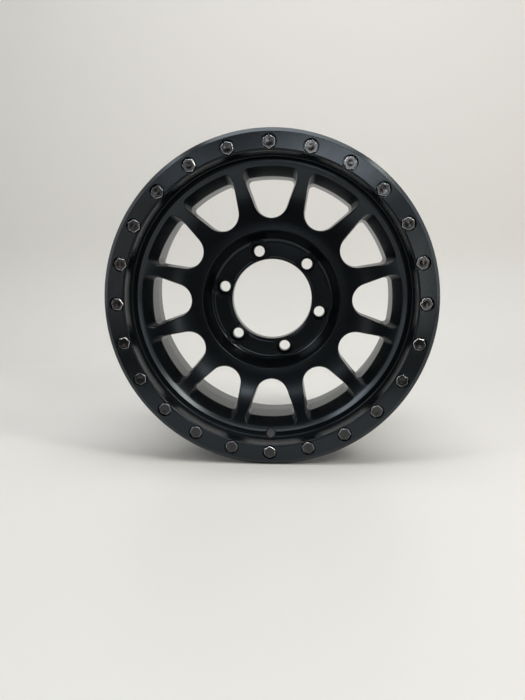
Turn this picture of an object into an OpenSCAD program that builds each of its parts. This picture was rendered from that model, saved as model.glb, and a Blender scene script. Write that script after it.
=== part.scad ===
// Off-road alloy car wheel: a one-piece casting with a ring of accent bolts.
// The axle runs along Y, the street side faces -Y, and the origin is the centre of the rim.

/* [Rim] */
// Bead seat diameter of a 15 inch rim
bead_d = 380.2; // [370:0.1:392]
// Width between the two bead faces, 7 inches
rim_w = 177.8; // [165:0.1:203.2]
// Thickness of each flange, from its bead face to its outer face
flange_w = 13.6; // [13:0.1:16]
// Height of the rear flange above the bead seat
flange_h = 17.3; // [16:0.1:19]
// Thickness of the barrel wall
wall = 5; // [4:0.1:6]
// Depth of the drop well below the bead seat
well_depth = 20; // [18:0.1:22]
// Width of the drop well floor
well_w = 38; // [30:0.5:46]

/* [Ring] */
// Outer diameter of the ring
ring_od = 425; // [421:0.5:430]
// Outer diameter of the ring's flat face
ring_face_od = 414.6; // [411:0.1:417]
// Diameter of the opening inside the ring
ring_bore_d = 370; // [366:0.1:371]
// Depth of the ring's inner edge
ring_depth = 20; // [16:0.1:24]
// Diameter of the circle on which the accent bolts stand
bolt_circle_d = 391; // [390:0.1:392]
// Number of accent bolts
bolt_count = 24; // [12:1:28]
// Diameter of each bolt's recess
bolt_seat_d = 19; // [18:0.1:19.4]
// Depth of each bolt's recess
bolt_seat_depth = 5.4; // [4.5:0.1:6]

/* [Step inside the ring] */
// Depth of the step between the ring and the disc
land_depth = 36.4; // [34:0.1:38]
// Inner diameter of that step
land_d = 360; // [358:0.1:362]

/* [Windows and spokes] */
// Number of windows, and of the spokes between them
window_count = 12; // [10:1:13]
// Diameter of the circle that touches the windows' inner tips
window_tip_d = 221.4; // [214:0.1:232]
// Width of a spoke at its inner end, on the street side
spoke_inner_w = 23.6; // [21:0.1:26]
// Width of a spoke at its outer end, on the street side
spoke_outer_w = 16.8; // [15:0.1:19]
// Diameter at the outer lip of the windows, on the street side
window_lip_d = 348; // [344:0.1:350]
// Depth below the ring face at which the windows' outer walls end
window_wall_depth = 62; // [58:0.1:64]
// Radius of the windows' outer corners
window_corner_r = 6.4; // [5:0.1:9]
// Draft of the windows' side walls, which draw together towards the brake side
window_draft = 5; // [3:0.5:6]
// Depth of the disc below the ring face, beside the hub bowl
web_depth = 67.2; // [64:0.1:70]
// Thickness of the disc at the hub bowl
web_inner_t = 24; // [20:0.1:28]
// Thickness of the disc where it meets the barrel
web_outer_t = 24; // [20:0.1:28]

/* [Hub] */
// Diameter of the stud circle
stud_circle_d = 139.7; // [135:0.1:144]
// Number of stud holes
stud_count = 6; // [5:1:6]
// Diameter of each stud hole
stud_hole_d = 15; // [13:0.1:17]
// Diameter of each conical nut seat at its mouth
nut_seat_d = 23.4; // [21:0.1:25]
// Diameter of the flat milled round each nut seat
nut_flat_d = 31; // [28:0.1:33]
// Diameter of the hub bore
bore_d = 113; // [104:0.1:114]
// Distance of the hub face behind the centre of the rim
hub_setback = 6; // [0:0.1:12]
// Thickness of the hub between its floor and its rear face
hub_t = 20.5; // [17:0.1:23]
// Diameter of the hub's rear face
hub_face_d = 176; // [172:0.1:182]
// Diameter of the bowl's rim
bowl_d = 191; // [188:0.1:196]
// Diameter of the bowl's floor, up to its rounded corner
bowl_floor_d = 158; // [154:0.1:162]
// Depth of the relief pockets in the hub's rear face
relief_depth = 7; // [4:0.1:9]

/* [Valve hole] */
// Diameter of the valve hole
valve_hole_d = 11.3; // [11.3:0.1:11.8]
// Diameter of the flat milled round the valve hole
valve_flat_d = 14.4; // [14:0.1:14.8]
// Lean of the valve hole towards the axle
valve_lean = 18; // [12:1:24]

/* [Accent bolts] */
// Width of the hexagon head across its flats
bolt_head_af = 14.3; // [13:0.1:14.5]
// Height of the head
bolt_head_h = 5.2; // [4.2:0.1:5.8]
// Diameter of the shank
bolt_d = 8; // [6:0.1:8]
// Length of the shank
bolt_length = 6; // [4:0.1:6]
// Diameter of the dish in the top of the head
bolt_dish_d = 9.6; // [8:0.1:10.6]
// Clearance between a shank and its hole
bolt_clearance = 0.3; // [0.2:0.05:0.5]

/* [Hidden] */
$fn = 96;
cut = 1;                                  // how far a cutter runs past the metal it cuts
eps = 0.01;

bead_r = bead_d / 2;
ring_r = ring_od / 2;
ring_face_r = ring_face_od / 2;
ring_bore_r = ring_bore_d / 2;
well_r = bead_r - well_depth;
front_z = rim_w / 2 + flange_w;           // the ring's face, and minus this the rear edge
width = 2 * front_z;

// The flange's hook, heel and bead seat follow the usual rim contour
hook_r = 9;
hook_rise = 8.4;                          // straight part of the bead face above the seat
heel_r = 6.5;
seat_w = 20;
seat_slope = tan(5);
hump_h = 1.5;
hump_w = 6;
well_slope_w = 20;                        // axial length of the slope from hump to well floor
rise_w = 30;                              // axial length of the slope behind the well
lip_w = 3;
lip_drop = 3.4;
edge_r = 2.6;                             // rounding of the ring's inner edge
ring_draft = 0.6;
ring_step = 1.2;
land_edge_r = 1.6;

window_pitch = 360 / window_count;
window_lip_r = window_lip_d / 2;
window_tip_r = window_tip_d / 2;
window_end_r = well_r - wall - 0.9;       // outer end of the windows behind their slanted wall
land_r = land_d / 2;
face_slope_out = 40;                      // slope of the spoke faces at the ring
face_slope_in = 5;                        // and at the hub bowl
hub_face_depth = width / 2 + hub_setback;
hub_floor_depth = hub_face_depth - hub_t;
hub_face_r = hub_face_d / 2;
bowl_r = bowl_d / 2;
bowl_floor_r = bowl_floor_d / 2;
bowl_fillet_r = 9;
bore_r = bore_d / 2;
bore_chamfer = 1.2;
nut_cone_depth = (nut_seat_d - stud_hole_d) / 2 / tan(30);
first_stud = 90 + 180 / window_count;     // a stud hole stands on the centre line of a spoke
relief_inner_r = bore_r + 7;
relief_outer_r = hub_face_r - 6;

// A point of the section: radius, and depth below the ring's face
function at(r, depth) = [r, front_z - depth];

// An arc in the section, round a centre given as radius and depth; 0 degrees points
// away from the axle and 90 degrees towards the street side
function arc(r, depth, radius, from, to, steps = 6) =
    [for (i = [0:steps]) let (a = from + (to - from) * i / steps)
        at(r + radius * cos(a), depth - radius * sin(a))];

// The front of a spoke: a concave arc that flattens from the ring to the hub bowl
face_arc_r = (web_depth - land_depth) / (cos(face_slope_in) - cos(face_slope_out));
face_start_r = land_r;
function face_depth_at(slope) = land_depth + face_arc_r * (cos(slope) - cos(face_slope_out));
function face_r_at(slope) = face_start_r - face_arc_r * (sin(face_slope_out) - sin(slope));
function face_slope_at(r) = asin(sin(face_slope_out) - (face_start_r - r) / face_arc_r);
face_slopes = [for (i = [0:12]) face_slope_out - (face_slope_out - face_slope_in) * i / 12];
lip_depth = face_depth_at(face_slope_at(window_lip_r));

// Depth below the ring face where the seat, hump, well and rear slope begin
hump_depth = flange_w + seat_w;
well_depth_front = hump_depth + hump_w + well_slope_w;
well_depth_rear = well_depth_front + well_w;
rise_depth = well_depth_rear + rise_w;
seat_end_r = bead_r - seat_w * seat_slope;
rear_hump_depth = width - hump_depth;

function tyre_side_front() = concat(
    [at(ring_face_r, 0), at(ring_r - 0.8, lip_drop - 0.8), at(ring_r, lip_drop + 0.4)],
    [at(ring_r, lip_drop + lip_w), at(ring_r - 1, lip_drop + lip_w + 1)],
    arc(bead_r + hook_rise, flange_w - hook_r, hook_r, -45, -90),
    arc(bead_r + heel_r, flange_w + heel_r, heel_r, 90, 180),
    [at(seat_end_r, hump_depth), at(seat_end_r + hump_h, hump_depth + hump_w * 0.4)],
    [at(seat_end_r + hump_h, hump_depth + hump_w * 0.6), at(seat_end_r, hump_depth + hump_w)],
    [at(well_r, well_depth_front)]
);

function tyre_side_rear() = concat(
    [at(well_r, well_depth_rear), at(seat_end_r - 1, rise_depth)],
    [at(seat_end_r, rear_hump_depth - hump_w)],
    [at(seat_end_r + hump_h, rear_hump_depth - hump_w * 0.6)],
    [at(seat_end_r + hump_h, rear_hump_depth - hump_w * 0.4), at(seat_end_r, rear_hump_depth)],
    arc(bead_r + heel_r, width - flange_w - heel_r, heel_r, 180, 270),
    arc(bead_r + hook_rise, width - flange_w + hook_r, hook_r, 90, 0),
    [at(bead_r + flange_h + 0.1, width - 1), at(bead_r + flange_h - 0.9, width)]
);

// The brake side: rear flange, barrel, back of the disc, hub face and bore
function brake_side() = concat(
    [at(bead_r + 5, width), at(bead_r, width - 1.4)],
    [at(seat_end_r - wall + 1.6, width - 7), at(seat_end_r - wall, rear_hump_depth - hump_w)],
    [at(seat_end_r - wall - 1, rise_depth + 2), at(well_r - wall, well_depth_rear + 2)],
    arc(well_r - wall - 6, window_wall_depth + web_outer_t + 6, 6, 0, 90, 4),
    arc(hub_face_r + 8, web_depth + web_inner_t + 6, 6, 90, 180, 4),
    [at(hub_face_r + 1, hub_face_depth - 1), at(hub_face_r - 1, hub_face_depth)],
    [at(bore_r + bore_chamfer, hub_face_depth), at(bore_r, hub_face_depth - bore_chamfer)]
);

// The street side: bore, bowl, spoke faces, step and the ring's inner edge
function street_side() = concat(
    [at(bore_r, hub_floor_depth + bore_chamfer), at(bore_r + bore_chamfer, hub_floor_depth)],
    arc(bowl_floor_r, hub_floor_depth - bowl_fillet_r, bowl_fillet_r, -90, -28),
    [at(bowl_r, web_depth + 0.9), at(bowl_r + 1, web_depth)],
    [for (i = [12:-1:1]) at(face_r_at(face_slopes[i]), face_depth_at(face_slopes[i]))],
    [at(land_r - 1.1, land_depth + 0.8), at(land_r + 0.3, land_depth)],
    arc(ring_bore_r + ring_step - land_edge_r, land_depth - land_edge_r, land_edge_r, -90, 0, 4),
    [at(ring_bore_r + ring_step, ring_depth + 0.5), at(ring_bore_r, ring_depth)],
    arc(ring_bore_r + ring_draft + edge_r, edge_r, edge_r, 180, 90)
);

module section() {
    polygon(concat(tyre_side_front(), tyre_side_rear(), brake_side(), street_side()));
}

// One straight side of a window: the edge of a spoke that narrows towards the ring
half_pitch = window_pitch / 2;
spoke_far_r = window_lip_r - 14;
spoke_near_r = window_tip_r + 10;
function spoke_edge(r, half_w) =
    [r * sin(half_pitch) - half_w * cos(half_pitch), r * cos(half_pitch) + half_w * sin(half_pitch)];
edge_near = spoke_edge(spoke_near_r, spoke_inner_w / 2);
edge_far = spoke_edge(spoke_far_r, spoke_outer_w / 2);
edge_angle = atan2(edge_far.x - edge_near.x, edge_far.y - edge_near.y);
along = [sin(edge_angle), cos(edge_angle)];
inward = [-cos(edge_angle), sin(edge_angle)];

// The round inner tip touches both straight sides
edge_offset = -(edge_near * inward);      // distance of the straight side from the axle, inwards
tip_r = (edge_offset + window_tip_r * sin(edge_angle)) / (1 - sin(edge_angle));
tip_centre = [0, window_tip_r + tip_r];

// The side walls stand this far outside their line at the depth of the slanted wall's end
function taper(depth) = (window_wall_depth - depth) * tan(window_draft);

// Centre of an outer corner that touches a side wall moved out by shift, and the outer end
function corner_centre(end_r, corner_r, shift) =
    let (start = edge_near + (corner_r - shift) * inward)
    let (b = start * along, c = start * start - pow(end_r - corner_r, 2))
    start + (sqrt(b * b - c) - b) * along;
function mirrored(p) = [-p.x, p.y];

// The windows' outer wall is slanted and opens towards the street; the rest is upright or drafted
wall_run = (window_lip_r - window_end_r) / (window_wall_depth - lip_depth);
window_back = web_depth + web_inner_t + 6;
lip_spare = 0.6;                          // how far the wide outline runs past the slanted wall
lip_corner_r = window_corner_r + 2.6;     // the corners widen towards the street with that wall
side_spare = 0.4;                         // how far an outline runs past the side walls
end_gap = 0.05;                           // keeps the outer end clear of touching its corners' circles

// The outline without its side walls, which are cut to their draft afterwards
module window_outline(end_r, corner_r, shift) {
    corner = corner_centre(end_r, corner_r, shift);
    corner_foot = corner - (corner_r + side_spare) * inward;
    tip_foot = tip_centre - (tip_r + shift + side_spare) * inward;
    beyond = (end_r + 10) / norm(corner);
    translate(tip_centre) circle(r = tip_r);
    translate(corner) circle(r = corner_r);
    translate(mirrored(corner)) circle(r = corner_r);
    polygon([tip_foot, corner_foot, corner, mirrored(corner), mirrored(corner_foot),
        mirrored(tip_foot), tip_centre]);
    intersection() {
        circle(r = end_r - end_gap, $fn = 240);
        polygon([corner, corner * beyond, mirrored(corner * beyond), mirrored(corner)]);
    }
}

module every_window() {
    for (i = [0:window_count - 1]) rotate(i * window_pitch) children();
}

module side_wall() {
    reach = window_lip_r;
    translate(edge_near - spoke_near_r * along) rotate(180 - edge_angle) rotate([90, 0, 0])
        linear_extrude(2 * window_lip_r) polygon([
            [-taper(window_back), front_z - window_back],
            [reach, front_z - window_back],
            [reach, front_z],
            [-taper(0), front_z]
        ]);
}

module window_cut() {
    intersection() {
        side_wall();
        mirror([1, 0, 0]) side_wall();
        union() {
            translate([0, 0, front_z - window_back])
                linear_extrude(window_back) window_outline(window_end_r, window_corner_r, 0);
            intersection() {
                translate([0, 0, front_z - window_back]) linear_extrude(window_back)
                    window_outline(window_lip_r + lip_spare, lip_corner_r, taper(lip_depth));
                rotate_extrude($fn = 240) polygon([
                    at(0, 0),
                    at(window_lip_r + lip_depth * wall_run, 0),
                    at(window_end_r - wall_run, window_wall_depth + 1),
                    at(0, window_wall_depth + 1)
                ]);
            }
        }
    }
}

module window_cuts() {
    every_window() window_cut();
}

module bolt_places() {
    for (i = [0:bolt_count - 1]) rotate(90 - i * 360 / bolt_count)
        translate([bolt_circle_d / 2, 0, front_z]) children();
}

module bolt_seats() {
    hole_depth = bolt_seat_depth + bolt_length + 0.6;
    bolt_places() {
        translate([0, 0, -bolt_seat_depth]) cylinder(d = bolt_seat_d, h = bolt_seat_depth + cut);
        translate([0, 0, -hole_depth]) cylinder(d = bolt_d + bolt_clearance, h = hole_depth, $fn = 48);
    }
}

module stud_places() {
    for (i = [0:stud_count - 1]) rotate(first_stud - i * 360 / stud_count)
        translate([stud_circle_d / 2, 0, front_z - hub_floor_depth]) children();
}

module stud_holes() {
    stud_places() {
        translate([0, 0, -hub_t - cut]) cylinder(d = stud_hole_d, h = hub_t + 2 * cut);
        translate([0, 0, -nut_cone_depth - 0.8])
            cylinder(d1 = stud_hole_d, d2 = nut_seat_d, h = nut_cone_depth);
        translate([0, 0, -0.8]) cylinder(d = nut_flat_d, h = hub_floor_depth);
    }
}

// Pockets between the stud holes lighten the rear face of the hub
module relief_pockets() {
    mid_r = (relief_inner_r + relief_outer_r) / 2;
    end_r = (relief_outer_r - relief_inner_r) / 2;
    half_angle = 180 / stud_count - asin((nut_flat_d / 2 + end_r - 3) / mid_r);
    for (i = [0:stud_count - 1]) rotate(first_stud - (i + 0.5) * 360 / stud_count)
        translate([0, 0, front_z - hub_face_depth - cut]) {
            rotate(-half_angle) rotate_extrude(angle = 2 * half_angle)
                translate([relief_inner_r, 0]) square([2 * end_r, relief_depth + cut]);
            for (side = [-1, 1]) rotate(side * half_angle)
                translate([mid_r, 0, 0]) cylinder(r = end_r, h = relief_depth + cut);
        }
}

module valve_hole() {
    valve_r = land_r + valve_flat_d / 2 - 6.4;
    rotate(-90) translate([valve_r, 0, front_z - land_depth]) rotate([0, -valve_lean, 0]) {
        translate([0, 0, -flange_w - wall]) cylinder(d = valve_hole_d, h = flange_w + wall + land_depth);
        translate([0, 0, -1.2]) cylinder(d = valve_flat_d, h = 6);
        translate([0, 0, -2.4]) cylinder(d1 = valve_hole_d, d2 = valve_flat_d - 1, h = 1.3);
    }
}

module wheel_casting() {
    color("#1b1d1f") rotate([90, 0, 0]) difference() {
        rotate_extrude($fn = 240) section();
        window_cuts();
        bolt_seats();
        stud_holes();
        relief_pockets();
        valve_hole();
    }
}

module accent_bolt() {
    top = bolt_head_h - bolt_seat_depth;
    corner_r = bolt_head_af / 2 / cos(30);
    chamfer = 1.1;
    difference() {
        union() {
            intersection() {
                translate([0, 0, -bolt_seat_depth]) rotate(30)
                    cylinder(r = corner_r, h = bolt_head_h, $fn = 6);
                translate([0, 0, top - bolt_head_h - cut])
                    cylinder(r1 = corner_r + (bolt_head_h + cut) * 1.6, r2 = corner_r - chamfer,
                        h = bolt_head_h + cut);
            }
            translate([0, 0, -bolt_seat_depth - bolt_length]) cylinder(d = bolt_d, h = bolt_length + cut);
        }
        translate([0, 0, top - 0.9]) cylinder(d1 = bolt_dish_d - 2.4, d2 = bolt_dish_d, h = 0.9 + eps);
    }
}

module accent_bolts() {
    color("#b9bcc0") rotate([90, 0, 0]) bolt_places() accent_bolt();
}

wheel_casting();
accent_bolts();
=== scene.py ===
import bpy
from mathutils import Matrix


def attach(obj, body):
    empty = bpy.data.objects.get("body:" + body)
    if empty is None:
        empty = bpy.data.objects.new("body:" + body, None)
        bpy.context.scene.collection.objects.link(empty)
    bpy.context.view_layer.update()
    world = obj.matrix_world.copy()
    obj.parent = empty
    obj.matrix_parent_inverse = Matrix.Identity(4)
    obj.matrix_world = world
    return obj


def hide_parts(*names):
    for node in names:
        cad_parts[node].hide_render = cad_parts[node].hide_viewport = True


bl_info = {
    "name": "Alloy wheel",
    "version": (1, 0, 0),
    "blender": (4, 5, 0),
    "location": "3D View > Sidebar > Wheel",
    "description": "Satin black alloy car wheel with a ring of zinc plated accent bolts",
    "category": "Object",
}

import math
from types import SimpleNamespace

import bpy
import numpy as np
from bpy.props import FloatProperty, FloatVectorProperty, IntProperty, PointerProperty
from mathutils import Vector
from mathutils.geometry import delaunay_2d_cdt

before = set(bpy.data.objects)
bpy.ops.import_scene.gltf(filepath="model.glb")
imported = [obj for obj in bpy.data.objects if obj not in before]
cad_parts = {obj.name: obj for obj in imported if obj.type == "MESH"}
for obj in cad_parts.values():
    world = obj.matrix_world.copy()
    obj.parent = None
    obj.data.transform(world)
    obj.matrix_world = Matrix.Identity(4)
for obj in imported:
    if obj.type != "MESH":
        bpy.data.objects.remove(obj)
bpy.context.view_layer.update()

STEP = 1.25                  # degrees between the points of a turned surface
ARC_STEP = math.radians(15)  # longest step of a rounded corner
FINE_FILLET = 1.3            # a smaller corner gets two steps
HALF_SECTOR = 15             # degrees, half of a window's share of the wheel
WINDOW_TURNS = [90 + 2 * HALF_SECTOR * i for i in range(12)]
VALVE_TURN = 270
FIRST_STUD = 105

# Millimetres of the rim and the hub that don't follow the sizes below. A joint is a point
# (radius, depth) at which one section ends and the next begins.
FLANGE = 13.6                # thickness of a flange
BEAD_R = 188.35              # bead seat beside its hump
HEEL_R = 190.25              # bead seat beside its flange
HUMP_R = 189.85
WELL_R = 170.1               # floor of the drop well
BARREL_R = 165.1             # inner wall of the rim round the disc
HUB_FACE_R = 86              # flat rear face of the hub
BOWL_LAND_R = 98.5           # flat beside the bowl's rim
HUMP_JOINT = (HUMP_R, 36.6)
WELL_JOINT = (171.2, 58.4)
DISC_JOINT = (BARREL_R, 94)
HUB_JOINT = (104, 90.54)
BOWL_JOINT = (86.95, 83.2)
WALL_JOINT = 23              # depth on the wall inside the ring
EDGE_JOINT = (0.566, 3.6)    # with the radius counted from the ring's opening
RING_STEP = 1.2              # from the ring's opening out to the wall behind it
HUB_CHAMFER = 1.2            # at both ends of the hub bore
BORE_MARGIN = 1.7            # from the hub bore to the flat of the hub's rear face
NUT_FLAT_DROP = 0.8          # of the flat round a nut seat below the bowl's floor
NUT_CONE = math.radians(30)  # half angle of a nut seat
POCKET_MARGIN = 7            # from the hub bore to the relief pockets
POCKET_R = 82.0              # outer radius of the relief pockets
VALVE_LEAN = math.radians(18)
VALVE_R = 5.65
VALVE_SPOT_R = 7.2           # flat milled round the mouth of the valve hole
SHANK_R = 4.0                # of a bolt

# The camera that was fitted to the photo: metres, degrees and millimetres
CAMERA_PLACE = (0.02954, -0.77487, 0.05499)
CAMERA_TURN = (80.442593, 0.27431959, 3.22049779)
CAMERA_LENS, CAMERA_SENSOR = 27.46, 36

PLAIN = (1, 1, 1)
DIM_ROOM = (0.034, 0.038, 0.04)
LAMPS = (                    # name, place, aim, size, share of the lamp power, tint
    ("ceiling_light", (0.1, -0.2, 1.75), (0.1, -0.15, 0), (1.8, 0.8), 2.9, PLAIN),
    ("left_light", (-1.80, -0.25, 0.60), (0, -0.25, 0.60), (1.3, 1.5), 0.7, PLAIN),
    ("right_light", (1.80, -0.25, 0.60), (0, -0.25, 0.60), (1.3, 1.5), 0.9, PLAIN),
    ("upper_right_light", (1.05, -0.72, 1.1), (0, 0, 0), (0.3, 0.5), 1.0, (1.0, 0.95, 0.86)),
    ("upper_left_light", (-1.05, -0.66, 1.1), (0, 0, 0), (0.3, 0.6), 0.5, PLAIN),
    ("window_light", (0.19, -1.75, 0.45), (0, 0, 0.05), (0.5, 0.17), 0.21, PLAIN),
    ("window_light_left", (-0.38, -1.75, 0.43), (0, 0, 0.05), (0.42, 0.15), 0.055, PLAIN),
    ("right_fill", (0.55, -1.75, -0.02), (0, 0, 0), (0.14, 0.45), 0.08, (1.0, 0.96, 0.88)),
    ("left_fill", (-0.72, -1.75, 0.05), (0, 0, 0), (0.25, 0.6), 0.06, (1.0, 0.88, 0.82)),
)


# ---- Sizes and finishes that a user may change ----

def length(name, millimetre, about):
    return FloatProperty(name=name, description=about, default=millimetre / 1000, min=0,
                         unit="LENGTH")


def colour(name, value, about):
    return FloatVectorProperty(name=name, description=about, default=value, size=3,
                               subtype="COLOR", min=0, max=1)


class WheelSizes(bpy.types.PropertyGroup):
    front: length("Half width", 102.5, "From the middle of the rim to the face of the ring")
    ring_r: length("Ring radius", 212.5, "Outer radius of the ring")
    ring_face_r: length("Ring face radius", 207.3, "Radius at which the ring's flat face ends")
    bore_edge_r: length("Ring opening radius", 185.0, "Radius inside the ring's inner edge")
    bolt_circle_r: length("Bolt circle radius", 195.5, "Radius on which the accent bolts stand")
    seat_r: length("Bolt recess radius", 9.5, "Radius of each bolt's recess")
    seat_depth: length("Bolt recess depth", 5.4, "Depth of each bolt's recess")
    land_depth: length("Step depth", 36.4, "Depth of the step between the ring and the spokes")
    land_r: length("Step inner radius", 180.0, "Inner radius of that step")
    web_depth: length("Disc depth", 67.2, "Depth of the disc beside the hub bowl")
    tip_r: length("Window tip radius", 110.7, "Radius at the windows' inner tips")
    lip_r: length("Window lip radius", 174.0, "Radius at the windows' outer lips")
    end_r: length("Window end radius", 164.2, "Radius of the windows' outer end walls")
    slant_depth: length("Slanted wall depth", 62.0, "Depth at which the windows' slanted walls end")
    spoke_inner: length("Spoke width inside", 23.6, "Width of a spoke at its inner end")
    spoke_outer: length("Spoke width outside", 16.8, "Width of a spoke at its outer end")
    corner_r: length("Window corner radius", 6.4, "Radius of the windows' outer corners")
    edge_fillet: length("Window edge rounding", 1.6, "Rounding of the windows' front edges")
    bowl_r: length("Bowl rim radius", 96.0, "Radius of the hub bowl's rim")
    floor_depth: length("Bowl depth", 88.0, "Depth of the hub bowl's floor")
    stud_circle_r: length("Stud circle radius", 69.85, "Radius of the stud circle")
    stud_r: length("Stud hole radius", 7.5, "Radius of each stud hole")
    nut_r: length("Nut seat radius", 11.7, "Radius of each conical nut seat at its mouth")
    nut_flat_r: length("Nut flat radius", 15.5, "Radius of the flat milled round each nut seat")
    hub_bore_r: length("Hub bore radius", 56.5, "Radius of the hub bore")
    hub_depth: length("Hub face depth", 108.5, "Depth of the hub's rear face")
    bolt_flats: length("Bolt head width", 14.3, "Width of a bolt's head across its flats")
    bolt_dish_r: length("Bolt dish radius", 4.8, "Radius of the dish in the top of a bolt")
    bolts: IntProperty(name="Accent bolts", description="Number of accent bolts",
                       default=24, min=3)


class WheelFinish(bpy.types.PropertyGroup):
    coat: colour("Powder coat", (0.0022, 0.0030, 0.0042),
                 "Colour of the satin black powder coat")
    plate: colour("Zinc plate", (0.052, 0.052, 0.054), "Colour of the bolts' dark zinc plate")
    # The bright edge colour is partly wear of the plate and partly a painted highlight along the
    # bolt heads' edges.
    bare_and_glint: colour("Rubbed edges", (0.72, 0.73, 0.75),
                 "Colour of the plate where it is rubbed bright")
    floor: colour("Floor", (0.72, 0.715, 0.69), "Colour of the floor")
    wall: colour("Backdrop", (0.72, 0.705, 0.68), "Colour of the backdrop")
    lamp_power: FloatProperty(name="Lamp power", default=9.0, min=0, unit="POWER",
                              description="Power that each soft lamp takes its share of")


def millimetres(sizes):
    found = {key: getattr(sizes, key) for key in sizes.__annotations__}
    return SimpleNamespace(**{key: value if isinstance(value, int) else round(value * 1000, 4)
                              for key, value in found.items()})


# ---- Sections: rows of (radius, depth, normal outwards, normal towards the brake side) ----

def unit(v):
    return v / np.linalg.norm(v, axis=-1, keepdims=True)


def turned(corners, side=1):
    """Rows along a section given by its corners: radius, depth and, where it is rounded, a
    fillet. Side is -1 where the metal lies on the section's other side."""
    points = [np.array(c[:2], float) for c in corners]
    heads = [unit(b - a) for a, b in zip(points, points[1:])]
    rows = []

    def add(p, head):
        rows.append((p[0], p[1], side * head[1], -side * head[0]))

    add(points[0], heads[0])
    reached = points[0]
    for corner, p, a, b in zip(corners[1:-1], points[1:-1], heads, heads[1:]):
        turn = math.acos(np.clip(a @ b, -1, 1))
        fillet = corner[2] if len(corner) > 2 else 0
        if fillet == 0 or turn < 1e-3:
            add(p, unit(a + b))
            reached = p
            continue
        setback = fillet * math.tan(turn / 2)
        start = p - a * setback
        if (start - reached) @ a < -1e-6:
            raise ValueError("a fillet is too large at %s" % (corner,))
        bend = math.copysign(1, a[0] * b[1] - a[1] * b[0])
        centre = start + bend * fillet * np.array((-a[1], a[0]))
        steps = 2 if fillet < FINE_FILLET else max(2, math.ceil(turn / ARC_STEP))
        for k in range(steps + 1):
            before, after = math.sin((1 - k / steps) * turn), math.sin(k / steps * turn)
            head = (before * a + after * b) / math.sin(turn)
            add(centre - bend * fillet * np.array((-head[1], head[0])), head)
        reached = p + b * setback
    add(points[-1], heads[-1])
    return np.array(rows)


def tyre_front(mm):
    """The ring's outer edge, the flange's hook and heel, and the front bead seat."""
    return turned([(mm.ring_face_r - 1, 0), (mm.ring_face_r, 0, 0.9), (mm.ring_r, 3.1, 1.6),
                   (mm.ring_r, 6.9, 0.9), (199.9, FLANGE, 9), (HEEL_R, FLANGE, 6.5),
                   (BEAD_R, 33.6, 2), (HUMP_R, 36.0, 1.2), HUMP_JOINT])


def tyre_well_slope():
    return turned([HUMP_JOINT, (HUMP_R, 37.2, 0.8), (BEAD_R, 39.6, 0.8), WELL_JOINT])


def tyre_rear(mm):
    """The drop well, the rear bead seat, the rear flange and the barrel's inner wall."""
    back = 2 * mm.front
    return turned([WELL_JOINT, (WELL_R, 59.6, 1.2), (WELL_R, 97.6, 6), (187.35, 127.6, 8),
                   (BEAD_R, 165.4, 2), (HUMP_R, 167.8, 0.8), (HUMP_R, 169, 0.8),
                   (BEAD_R, 171.4, 1), (HEEL_R, back - FLANGE, 6.5), (207.5, back - FLANGE, 9),
                   (207.5, back, 1.2), (195.1, back, 3), (190.1, back - 1.4, 2),
                   (184.95, back - 7, 3), (183.35, 165.4, 10), (182.35, 129.6, 8),
                   (BARREL_R, 99.6, 4), DISC_JOINT])


def disc_back():
    return turned([DISC_JOINT, (BARREL_R, 85.51, 6), HUB_JOINT])


def hub_back(mm):
    return turned([HUB_JOINT, (90, 91.69, 6), (88.9, mm.hub_depth, 1.8),
                   (HUB_FACE_R, mm.hub_depth)])


def hub_bore(mm):
    r, edge_r = mm.hub_bore_r, mm.hub_bore_r + HUB_CHAMFER
    return turned([(r + BORE_MARGIN, mm.hub_depth), (edge_r, mm.hub_depth, 0.3),
                   (r, mm.hub_depth - HUB_CHAMFER, 0.3),
                   (r, mm.floor_depth + HUB_CHAMFER, 0.3), (edge_r, mm.floor_depth)])


def bowl_floor(mm):
    flat = [(r, mm.floor_depth) for r in (mm.hub_bore_r + HUB_CHAMFER, 62, 67, 72)]
    return turned([*flat, (84.23, mm.floor_depth, 9), BOWL_JOINT])


def bowl_wall(mm):
    return turned([BOWL_JOINT, (mm.bowl_r, mm.web_depth, 1.6), (BOWL_LAND_R, mm.web_depth)])


def spoke_faces(mm):
    """From the bowl's rim over the hollow spoke faces and the step to the wall inside the ring."""
    inner, outer = math.radians(5), math.radians(40)    # slopes of the hollow at its ends
    arc_r = (mm.web_depth - mm.land_depth) / (math.cos(inner) - math.cos(outer))
    slopes = np.linspace(inner, outer, 25)
    hollow = [(mm.land_r - arc_r * (math.sin(outer) - math.sin(a)),
               mm.land_depth + arc_r * (math.cos(a) - math.cos(outer))) for a in slopes]
    hollow[-2:] = [(mm.land_r - 2.6, mm.land_depth + 1.5, 0.4),
                   (mm.land_r - 1.1, mm.land_depth, 0.4)]
    wall_r = mm.bore_edge_r + RING_STEP
    return turned([(BOWL_LAND_R, mm.web_depth), *hollow, (wall_r, mm.land_depth, 1.4),
                   (wall_r, WALL_JOINT)])


def ring_inside(mm):
    r = mm.bore_edge_r
    return turned([(r + RING_STEP, WALL_JOINT), (r + RING_STEP, 20.5, 0.4), (r, 20, 0.5),
                   (r + EDGE_JOINT[0], EDGE_JOINT[1])])


def ring_face(mm):
    r = mm.bore_edge_r
    return turned([(r + EDGE_JOINT[0], EDGE_JOINT[1]), (r + 0.69, 0, 2.6), (192, 0), (199, 0),
                   (mm.ring_face_r - 1, 0)])


def depth_of(rows):
    """The depth of a section as a function of the radius."""
    order = np.argsort(rows[:, 0], kind="stable")
    return lambda r: np.interp(r, rows[order, 0], rows[order, 1])


def lengths(rows):
    return np.concatenate(([0], np.cumsum(np.linalg.norm(np.diff(rows[:, :2], axis=0), axis=1))))


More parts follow.
